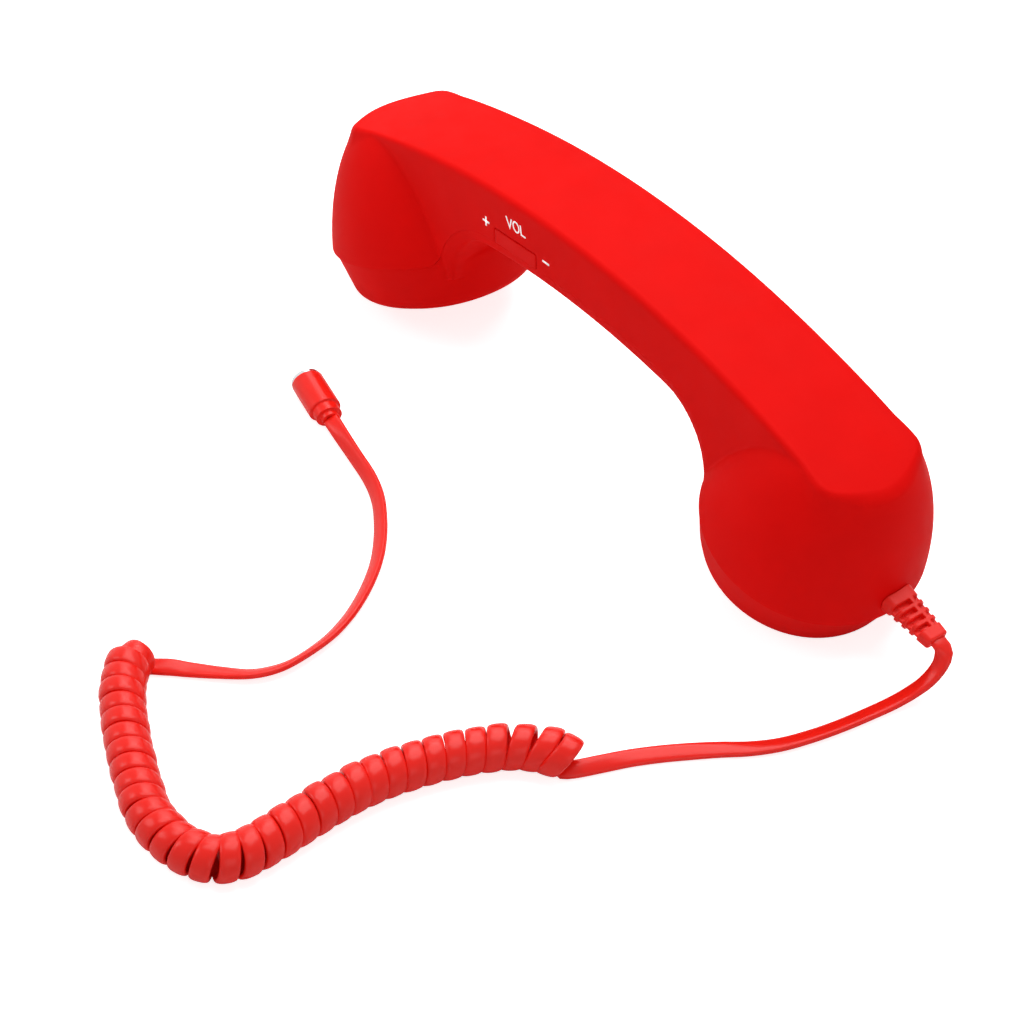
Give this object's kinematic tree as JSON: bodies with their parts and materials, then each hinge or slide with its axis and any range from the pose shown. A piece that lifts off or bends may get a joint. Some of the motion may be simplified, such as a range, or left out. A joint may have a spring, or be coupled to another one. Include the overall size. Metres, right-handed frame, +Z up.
{
  "type": "telephone handset",
  "caption": "Retro handset with domed ear and mouth cups, perforated caps, a volume rocker in its handle and a flat curly cord that ends in a plug.",
  "frame": {"origin": "on the surface that the handset rests on, under the middle of the handset", "axes": "+Z up; +X along the handset from the ear cup to the mouth cup; the volume rocker faces -Y"},
  "size_m": [0.2309, 0.2087, 0.0665],
  "materials": {
    "back_shell": "fine matt, soft to the touch",
    "front_shell": "fine matt, soft to the touch",
    "strain_relief": "smooth",
    "cord_lead": "glossy",
    "cord_coil": "glossy",
    "cord_tail": "glossy",
    "plug_overmould": "glossy",
    "plug_nose": "bright plating",
    "plug_contact": "bright",
    "circuit_board": "satin",
    "amplifier_chip": "matt",
    "call_switch": "matt",
    "volume_up_switch": "matt",
    "volume_down_switch": "matt",
    "board_screw_1": "zinc plated",
    "board_screw_2": "zinc plated",
    "housing_screw_ear": "zinc plated",
    "housing_screw_mouth": "zinc plated",
    "rocker_pin": "zinc plated",
    "ear_gasket": "foam",
    "speaker_frame": "pressed",
    "speaker_diaphragm": "matt film",
    "speaker_magnet": "plated",
    "speaker_retainer": "matt",
    "microphone_boot": "matt",
    "microphone_capsule": "satin",
    "ear_weight": "plain",
    "mouth_weight": "plain",
    "cord_clamp": "matt",
    "clamp_screw_near": "zinc plated",
    "clamp_screw_far": "zinc plated",
    "inner_cable": "glossy",
    "speaker_wire_near": "smooth",
    "speaker_wire_far": "smooth",
    "microphone_wire_near": "smooth",
    "microphone_wire_far": "smooth",
    "volume_rocker": "fine matt",
    "call_button": "fine matt"
  },
  "bodies": {
    "handset": {"back_shell": "back_shell", "front_shell": "front_shell", "strain_relief": "strain_relief", "cord_lead": "cord_lead", "cord_coil": "cord_coil", "cord_tail": "cord_tail", "plug_overmould": "plug_overmould", "plug_nose": "plug_nose", "plug_contact": "plug_contact", "circuit_board": "circuit_board", "amplifier_chip": "amplifier_chip", "call_switch": "call_switch", "volume_up_switch": "volume_up_switch", "volume_down_switch": "volume_down_switch", "board_screw_1": "board_screw_1", "board_screw_2": "board_screw_2", "housing_screw_ear": "housing_screw_ear", "housing_screw_mouth": "housing_screw_mouth", "rocker_pin": "rocker_pin", "ear_gasket": "ear_gasket", "speaker_frame": "speaker_frame", "speaker_diaphragm": "speaker_diaphragm", "speaker_magnet": "speaker_magnet", "speaker_retainer": "speaker_retainer", "microphone_boot": "microphone_boot", "microphone_capsule": "microphone_capsule", "ear_weight": "ear_weight", "mouth_weight": "mouth_weight", "cord_clamp": "cord_clamp", "clamp_screw_near": "clamp_screw_near", "clamp_screw_far": "clamp_screw_far", "inner_cable": "inner_cable", "speaker_wire_near": "speaker_wire_near", "speaker_wire_far": "speaker_wire_far", "microphone_wire_near": "microphone_wire_near", "microphone_wire_far": "microphone_wire_far"},
    "rocker": {"volume_rocker": "volume_rocker"},
    "button": {"call_button": "call_button"}
  },
  "joints": [
    {"name": "volume_tilt", "type": "hinge", "parent": "handset", "child": "rocker", "pos_m": [-0.0225, -0.01075, 0.05212], "axis": [-0.0779, 0, 0.997], "range_deg": [-3, 3], "stiffness_Nm_per_rad": 0.12},
    {"name": "call_press", "type": "slide", "parent": "handset", "child": "button", "axis": [0, 0, 1], "range_m": [0, 0.0005], "stiffness_N_per_m": 3000}
  ]
}
